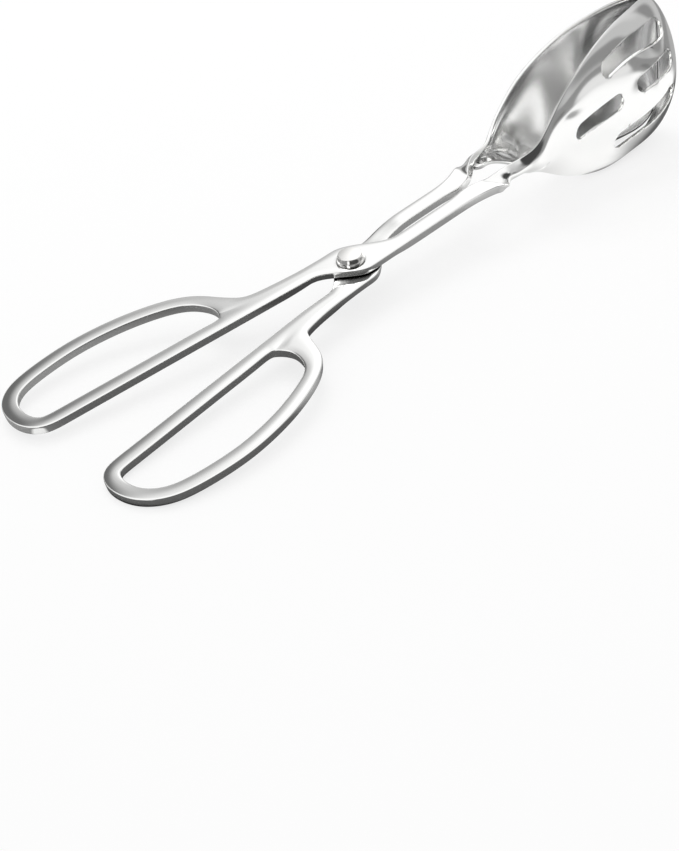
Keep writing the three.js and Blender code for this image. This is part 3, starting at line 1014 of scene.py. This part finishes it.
@dataclass(frozen=True)
class PolishedSteel:
    """Stainless steel, pressed, tumbled and buffed to a mirror.

    It is nearly colourless and mirrors what is around it, bent a little by the buffing.
    Inside the bowls its shine is softer, low in them and at their noses a painted shade
    makes its colour greyer, and in narrow corners a painted shade makes it nearly black.
    """

    name: str
    slot: str
    colour: str
    buff_mm: float = 9.0
    buff_height_mm: float = 0.0012
    haze_mm: float = 22.5
    haze: tuple[float, float] = (0.07, 0.12)
    inside_mm: tuple[float, float] = (76.0, 92.0)
    inside_turn: float = 0.25
    inside_haze: float = 0.1
    # painted shade: the greyer colour low in the bowls and at their noses
    low_shade_colour: str = "#bababa"
    low_shade_mm: tuple[float, float] = (-8.0, -4.0)
    nose_shade_mm: tuple[float, float] = (138.0, 143.0)
    # painted shade: the nearly black colour in narrow corners, found by ambient occlusion
    corner_shade_colour: str = "#3c3b3a"
    corner_shade_mm: float = 2.6
    corner_shade_share: tuple[float, float] = (0.45, 0.8)
    corner_shade_samples: int = 8

    def dress(self, item: bpy.types.Object) -> None:
        """Gives an object this finish."""
        item.data.materials.clear()
        item.data.materials.append(self.material())

    def buffing(self, tree: bpy.types.NodeTree, place: Socket) -> Socket:
        """The shallow waves that the buffing wheel leaves: they bend the reflections.

        Args:
            tree: The material's nodes.
            place: The place on the piece.

        Returns:
            The normal, tipped by the waves.
        """
        waves = add_node(tree, "ShaderNodeTexNoise", inputs={
            "Vector": place, "Scale": 1 / (self.buff_mm * MM), "Detail": 1.0})
        return add_node(tree, "ShaderNodeBump", inputs={
            "Height": waves.outputs["Fac"], "Strength": 1.0,
            "Distance": self.buff_height_mm * MM}).outputs["Normal"]

    def inside_share(self, tree: bpy.types.NodeTree, place: Socket) -> Socket:
        """The inner side of the bowls: past the neck, facing the plane between the levers.

        Args:
            tree: The material's nodes.
            place: The place on the piece.

        Returns:
            A share, 1 inside the bowls and 0 elsewhere.
        """
        along, side, _ = add_node(tree, "ShaderNodeSeparateXYZ", inputs={
            "Vector": place}).outputs
        facing = add_node(tree, "ShaderNodeSeparateXYZ", inputs={"Vector": add_node(
            tree, "ShaderNodeTexCoord").outputs["Normal"]}).outputs["Y"]
        sign = add_node(tree, "ShaderNodeMath", {"operation": "SIGN"}, {
            0: side}).outputs["Value"]
        outward = add_node(tree, "ShaderNodeMath", {"operation": "MULTIPLY"}, {
            0: sign, 1: facing}).outputs["Value"]
        hollow = add_node(tree, "ShaderNodeMapRange", {"interpolation_type": "SMOOTHSTEP"}, {
            "Value": outward, "From Min": 0.0, "From Max": -self.inside_turn})
        in_bowl = add_node(tree, "ShaderNodeMapRange", {"interpolation_type": "SMOOTHSTEP"}, {
            "Value": along, "From Min": self.inside_mm[0] * MM,
            "From Max": self.inside_mm[1] * MM})
        return add_node(tree, "ShaderNodeMath", {"operation": "MULTIPLY"}, {
            0: hollow.outputs["Result"], 1: in_bowl.outputs["Result"]}).outputs["Value"]

    def roughness(self, tree: bpy.types.NodeTree, place: Socket, inside: Socket) -> Socket:
        """A haze that varies a little over the surface and is softer inside the bowls.

        Args:
            tree: The material's nodes.
            place: The place on the piece.
            inside: 1 inside the bowls, where the wheel hardly reaches, and 0 elsewhere.

        Returns:
            The roughness.
        """
        haze = add_node(tree, "ShaderNodeTexNoise", inputs={
            "Vector": place, "Scale": 1 / (self.haze_mm * MM), "Detail": 2.0})
        rough = add_node(tree, "ShaderNodeMapRange", inputs={
            "Value": haze.outputs["Fac"], "To Min": self.haze[0], "To Max": self.haze[1]})
        return add_node(tree, "ShaderNodeMath", {"operation": "MULTIPLY_ADD"}, {
            0: inside, 1: self.inside_haze, 2: rough.outputs["Result"]}).outputs["Value"]

    def tone(self, tree: bpy.types.NodeTree, place: Socket, inside: Socket) -> Socket:
        """The steel's colour, with painted shade: greyer low in the bowls, nearly black in
        corners.

        Low in the bowls and at their noses the colour is a painted shade. The slots look onto
        the low part of the other bowl, so they come out darker than the rest of the hollow. The
        painted shade in the corners lies under the rivet's head, between the eyes and in the
        twist of the necks.

        Args:
            tree: The material's nodes.
            place: The place on the piece.
            inside: 1 inside the bowls and 0 elsewhere.

        Returns:
            The colour.
        """
        along, _, level = add_node(tree, "ShaderNodeSeparateXYZ", inputs={
            "Vector": place}).outputs
        low = add_node(tree, "ShaderNodeMapRange", {"interpolation_type": "SMOOTHSTEP"}, {
            "Value": level, "From Min": self.low_shade_mm[1] * MM,
            "From Max": self.low_shade_mm[0] * MM}).outputs["Result"]
        nose = add_node(tree, "ShaderNodeMapRange", {"interpolation_type": "SMOOTHSTEP"}, {
            "Value": along, "From Min": self.nose_shade_mm[0] * MM,
            "From Max": self.nose_shade_mm[1] * MM}).outputs["Result"]
        shaded_low_or_nose = add_node(tree, "ShaderNodeMath", {"operation": "MAXIMUM"}, {
            0: low, 1: nose}).outputs["Value"]
        # painted shade: greyer colour low in the bowls and at their noses
        low_shade_share = add_node(tree, "ShaderNodeMath", {"operation": "MULTIPLY"}, {
            0: inside, 1: shaded_low_or_nose}).outputs["Value"]
        steel = add_node(tree, "ShaderNodeMix", {"data_type": "RGBA"}, {
            0: low_shade_share, 6: linear(self.colour), 7: linear(self.low_shade_colour)}).outputs[2]
        # painted shade: narrow corners turn nearly black where ambient occlusion finds little
        # open space
        sky = add_node(tree, "ShaderNodeAmbientOcclusion", {"samples": self.corner_shade_samples}, {
            "Distance": self.corner_shade_mm * MM}).outputs["AO"]
        free = add_node(tree, "ShaderNodeMapRange", {"interpolation_type": "SMOOTHSTEP"}, {
            "Value": sky, "From Min": self.corner_shade_share[0],
            "From Max": self.corner_shade_share[1]}).outputs["Result"]
        return add_node(tree, "ShaderNodeMix", {"data_type": "RGBA"}, {
            0: free, 6: linear(self.corner_shade_colour), 7: steel}).outputs[2]

    def material(self) -> bpy.types.Material:
        """The finish as a material, made once.

        Returns:
            The material.
        """
        made = bpy.data.materials.get(self.name)
        if made:
            return made
        made = bpy.data.materials.new(self.name)
        made.use_nodes = True
        tree = made.node_tree
        tree.nodes.clear()
        place = add_node(tree, "ShaderNodeTexCoord").outputs["Object"]
        inside = self.inside_share(tree, place)
        steel = add_node(tree, "ShaderNodeBsdfPrincipled", inputs={
            "Base Color": self.tone(tree, place, inside), "Metallic": 1.0,
            "Roughness": self.roughness(tree, place, inside),
            "Normal": self.buffing(tree, place)})
        add_node(tree, "ShaderNodeOutputMaterial", inputs={"Surface": steel.outputs["BSDF"]})
        return made


@dataclass(frozen=True)
class Patch:
    """A soft-edged oval, light or dark, that shows only in the steel.

    On the tent the places are degrees: heading from -Y towards -X, and height above the
    horizon. On the floor they are millimetres along X and Y. The tilt is in degrees.
    """

    place: float
    height: float
    half_width: float
    half_height: float
    edge_share: float
    level: float
    tilt: float = 0.0


@dataclass
class Studio:
    """A white floor, a light tent, a lamp and the camera.

    The camera sees a nearly white floor before plain white. The steel mirrors a tent and a
    floor with light and dark patches, because steel that mirrors only white hardly shows
    on white. Each patch lies over those before it.
    """

    paper: str = "#f6f6f6"
    floor_size: float = 6000.0
    glow_share: float = 0.75
    low_point: tuple[float, float] = (128.0, -18.0)
    ring_point: tuple[float, float] = (-111.0, 1.45)
    plain_level: float = 0.85
    floor_level: float = 0.32
    floor_glow: float = 0.6
    deep_gain: float = 7.5
    gain_depths: tuple[float, float] = (2.0, 6.0)
    # Painted reflection: the dark floor patches stand in for the shade under the handles and
    # the eye, and the light ones put highlights on the steel.
    floor_patches: tuple[Patch, ...] = (
        Patch(-60, -31, 95, 68, 0.35, 0.13),
        Patch(-32, -50, 26, 30, 0.5, 0.5),
        Patch(-112, 13.5, 5, 4.5, 0.5, 1.0),
        Patch(-15, -8, 18, 12, 0.5, 0.08),
        Patch(150, -80, 110, 150, 0.4, 1.15),
        Patch(165, -110, 16, 50, 0.6, 0.4, 15),
        Patch(230, -330, 30, 120, 0.5, 0.2, 22),
        Patch(322, -222, 60, 199, 0.48, 0.9, 44),
        Patch(299, 19, 170, 50, 0.4, 0.45),
        Patch(160, 0, 51, 29, 0.5, 0.13),
        Patch(60, -189, 60, 90, 0.4, 0.9),
        Patch(60, 119, 90, 60, 0.4, 1.0),
    )
    tent_heights: tuple[float, ...] = (-90.0, 0.0, 30.0, 60.0, 90.0)
    tent_levels: tuple[float, ...] = (0.1, 0.6, 0.6, 1.15, 1.2)
    tent_patches: tuple[Patch, ...] = (
        Patch(-173, 31, 28, 25, 0.45, 0.16, 11),
        Patch(-131, 31, 14, 28, 0.54, 1.25, 26),
        Patch(-105, 58, 30, 16, 0.6, 1.25),
        Patch(-83, 20, 16, 20, 0.6, 0.3),
        Patch(35, 20, 75, 42, 0.3, 0.06),
        Patch(-26, 37, 12, 12, 0.5, 0.9),
        Patch(-50, 5, 24, 11, 0.5, 0.3),
        Patch(64, 15, 13, 30, 0.5, 1.2),
        Patch(75, 37, 11, 11, 0.5, 0.4),
        Patch(99, 44, 21, 19, 0.4, 1.3),
        Patch(105, 14, 40, 13, 0.4, 0.3),
        Patch(134, 39, 17, 17, 0.3, 1.3, 5),
        Patch(149, 7, 10, 15, 0.47, 1.1, -11),
    )
    lamp_place: tuple[float, float, float] = (250.0, 350.0, 700.0)
    lamp_aim: tuple[float, float, float] = (20.0, 0.0, 0.0)
    lamp_size: float = 500.0
    lamp_power: float = 1.6
    camera_place: tuple[float, float, float] = (-278.73, -331.93, 285.92)
    pitch: float = 38.24032
    heading: float = 38.45169
    roll: float = -9.78557
    sensor: float = 36.0
    focal_pixels: float = 1695.11
    image_pixels: int = 851
    clip: tuple[float, float] = (10.0, 20000.0)

    def floor(self) -> None:
        """A wide floor on which the bowls and the lower ring rest."""
        deselect()
        slope = math.atan2(self.low_point[1] - self.ring_point[1],
                           self.low_point[0] - self.ring_point[0])
        bpy.ops.mesh.primitive_plane_add(
            size=self.floor_size * MM, rotation=(0, -slope, 0),
            location=(self.low_point[0] * MM, 0, self.low_point[1] * MM))
        item = bpy.context.object
        item.name = "floor"
        item.data.materials.append(self.paper_material())

    def paper_material(self) -> bpy.types.Material:
        """Matt white paper that glows a little, so that the object's shadow is faint.

        Returns:
            The material: the paper for the camera, the floor's patches for the steel.
        """
        made = bpy.data.materials.new("matt white paper")
        made.use_nodes = True
        tree = made.node_tree
        tree.nodes.clear()
        path = add_node(tree, "ShaderNodeLightPath")
        place = add_node(tree, "ShaderNodeTexCoord").outputs["Object"]
        in_mm = add_node(tree, "ShaderNodeVectorMath", {"operation": "MULTIPLY_ADD"}, {
            0: place, 1: (1 / MM, 1 / MM, 0), 2: (self.low_point[0], 0, 0)}).outputs["Vector"]
        level: float | Socket = self.floor_level
        for patch in self.floor_patches:
            level = self.add_patch(tree, in_mm, level, patch)
        mirrored = add_node(tree, "ShaderNodeMixShader", inputs={
            0: self.floor_glow,
            1: add_node(tree, "ShaderNodeBsdfDiffuse", inputs={
                "Color": level}).outputs["BSDF"],
            2: add_node(tree, "ShaderNodeEmission", inputs={
                "Strength": self.regained(tree, path, level)}).outputs["Emission"]})
        lit = add_node(tree, "ShaderNodeBsdfDiffuse", inputs={"Color": linear(self.paper)})
        glow = add_node(tree, "ShaderNodeEmission", inputs={"Strength": 1.0})
        seen = add_node(tree, "ShaderNodeMixShader", inputs={
            0: self.glow_share, 1: lit.outputs["BSDF"], 2: glow.outputs["Emission"]})
        paper = add_node(tree, "ShaderNodeMixShader", inputs={
            0: path.outputs["Is Glossy Ray"], 1: seen.outputs["Shader"],
            2: mirrored.outputs["Shader"]})
        add_node(tree, "ShaderNodeOutputMaterial", inputs={"Surface": paper.outputs["Shader"]})
        return made

    def regained(self, tree: bpy.types.NodeTree, path: bpy.types.Node,
                 level: Socket) -> Socket:
        """Raises a level for each further bounce that it comes through.

        It is an aid, and no real light does so: it keeps the hollow between the bowls
        light, which many bounces would darken.

        Args:
            tree: The nodes.
            path: The light path.
            level: The level as one bounce sees it.

        Returns:
            The level as the ray sees it.
        """
        gain = add_node(tree, "ShaderNodeMapRange", {"clamp": True}, {
            "Value": path.outputs["Ray Depth"], "From Min": self.gain_depths[0],
            "From Max": self.gain_depths[1], "To Min": 1.0,
            "To Max": self.deep_gain}).outputs["Result"]
        return add_node(tree, "ShaderNodeMath", {"operation": "MULTIPLY"}, {
            0: level, 1: gain}).outputs["Value"]

    def tent(self) -> None:
        """The light tent: plain white for the camera, with its patches for the steel."""
        world = bpy.data.worlds.new("light tent")
        bpy.context.scene.world = world
        world.use_nodes = True
        tree = world.node_tree
        tree.nodes.clear()
        path = add_node(tree, "ShaderNodeLightPath")
        where = add_node(tree, "ShaderNodeTexCoord").outputs["Generated"]
        parts = add_node(tree, "ShaderNodeSeparateXYZ", inputs={"Vector": add_node(
            tree, "ShaderNodeVectorMath", {"operation": "MULTIPLY"}, {
                0: where, 1: (-1, -1, 1)}).outputs["Vector"]})
        turn = add_node(tree, "ShaderNodeMath", {"operation": "ARCTAN2"}, {
            0: parts.outputs["X"], 1: parts.outputs["Y"]}).outputs["Value"]
        rise = add_node(tree, "ShaderNodeMath", {"operation": "ARCSINE"}, {
            0: parts.outputs["Z"]}).outputs["Value"]
        angles = [add_node(tree, "ShaderNodeMath", {"operation": "DEGREES"}, {
            0: angle}).outputs["Value"] for angle in (turn, rise)]
        place = add_node(tree, "ShaderNodeCombineXYZ", inputs={
            "X": angles[0], "Y": angles[1]}).outputs["Vector"]
        level = self.tent_level(tree, angles[1])
        for patch in self.tent_patches:
            level = self.add_patch(tree, place, level, patch)
        seen = add_node(tree, "ShaderNodeBackground", inputs={
            "Color": WHITE, "Strength": self.regained(tree, path, level)})
        plain = add_node(tree, "ShaderNodeBackground", inputs={
            "Color": WHITE, "Strength": self.plain_level})
        both = add_node(tree, "ShaderNodeMixShader", inputs={
            0: path.outputs["Is Glossy Ray"], 1: plain.outputs["Background"],
            2: seen.outputs["Background"]})
        white = add_node(tree, "ShaderNodeBackground", inputs={
            "Color": WHITE, "Strength": 1.0})
        final = add_node(tree, "ShaderNodeMixShader", inputs={
            0: path.outputs["Is Camera Ray"], 1: both.outputs["Shader"],
            2: white.outputs["Background"]})
        add_node(tree, "ShaderNodeOutputWorld", inputs={"Surface": final.outputs["Shader"]})

    def tent_level(self, tree: bpy.types.NodeTree, rise: Socket) -> Socket:
        """The tent's own level, which changes with the height above the horizon.

        Args:
            tree: The world's nodes.
            rise: The height in degrees.

        Returns:
            The level.
        """
        level: float | Socket = self.tent_levels[0]
        for low, high, value in zip(self.tent_heights, self.tent_heights[1:],
                                    self.tent_levels[1:]):
            share = add_node(tree, "ShaderNodeMapRange", inputs={
                "Value": rise, "From Min": low, "From Max": high})
            level = add_node(tree, "ShaderNodeMix", inputs={
                0: share.outputs["Result"], 2: level, 3: value}).outputs[0]
        return level

    @staticmethod
    def add_patch(tree: bpy.types.NodeTree, place: Socket, level: float | Socket,
                  patch: Patch) -> Socket:
        """Lays one patch over the level that is there already.

        Args:
            tree: The nodes.
            place: The place on the tent or the floor.
            level: The level so far.
            patch: The patch.

        Returns:
            The level with the patch.
        """
        local = add_node(tree, "ShaderNodeMapping", {"vector_type": "TEXTURE"}, {
            "Vector": place, "Location": (patch.place, patch.height, 0),
            "Rotation": (0, 0, math.radians(patch.tilt)),
            "Scale": (patch.half_width, patch.half_height, 1)}).outputs["Vector"]
        radius = add_node(tree, "ShaderNodeVectorMath", {"operation": "LENGTH"}, {
            0: local}).outputs["Value"]
        share = add_node(tree, "ShaderNodeMapRange", {"interpolation_type": "SMOOTHSTEP"}, {
            "Value": radius, "From Min": 1 - patch.edge_share, "From Max": 1.0,
            "To Min": 1.0, "To Max": 0.0})
        return add_node(tree, "ShaderNodeMix", inputs={
            0: share.outputs["Result"], 2: level, 3: patch.level}).outputs[0]

    def lamp(self) -> None:
        """One large soft lamp above and behind, which the steel doesn't mirror."""
        deselect()
        bpy.ops.object.light_add(type="AREA", location=Vector(self.lamp_place) * MM)
        lamp = bpy.context.object
        lamp.data.shape, lamp.data.size = "DISK", self.lamp_size * MM
        lamp.data.energy = self.lamp_power
        lamp.visible_glossy = False
        ahead = Vector(self.lamp_aim) * MM - lamp.location
        lamp.rotation_euler = ahead.to_track_quat("-Z", "Y").to_euler()

    def camera(self) -> None:
        """The camera, turned by pitch, heading and roll."""
        deselect()
        bpy.ops.object.camera_add()
        item = bpy.context.object
        pitch, heading, roll = (math.radians(v) for v in (self.pitch, self.heading, self.roll))
        ahead = Vector((math.sin(heading) * math.cos(pitch),
                        math.cos(heading) * math.cos(pitch), -math.sin(pitch)))
        right = Vector((math.cos(heading), -math.sin(heading), 0))
        up = right.cross(ahead)
        turned = [right * math.cos(roll) + up * math.sin(roll),
                  up * math.cos(roll) - right * math.sin(roll), -ahead]
        matrix = Matrix(turned).transposed().to_4x4()
        matrix.translation = Vector(self.camera_place) * MM
        item.matrix_world = matrix
        item.data.lens = self.sensor * self.focal_pixels / self.image_pixels
        item.data.clip_start, item.data.clip_end = (end * MM for end in self.clip)
        bpy.context.scene.camera = item

    def build(self) -> None:
        """Sets up the floor, the light and the camera."""
        self.floor()
        self.tent()
        self.lamp()
        self.camera()
        bpy.context.scene.view_settings.view_transform = "Standard"
        log.info("studio ready")


def main() -> None:
    """Builds the tongs and the studio."""
    logging.basicConfig(level=logging.INFO, format="%(name)s: %(message)s")
    # Buffed sheet: nearly white, with wide shallow waves that bend its reflections.
    sheet_steel = PolishedSteel("mirror-polished 18-8 stainless steel", "polished_steel",
                                "#eeeeed")
    # Headed wire, buffed with the levers: a touch warmer, with waves half as wide, and
    # a wider, darker painted shade under its head, where the gap to the eye is narrow.
    rivet_steel = PolishedSteel("pressed stainless rivet wire", "rivet_steel", "#eeedeb",
                                buff_mm=4.0, haze_mm=10.0, corner_shade_mm=4.5,
                                corner_shade_share=(0.5, 0.92))
    Lever(Side.SLOTTED, "slotted_half", shoulder=0.3).build(sheet_steel)
    Lever(Side.PLAIN, "plain_half", shoulder=2.6).build(sheet_steel)
    Rivet("plain_half").build(rivet_steel)
    Studio().build()


if __name__ == "__main__":
    main()
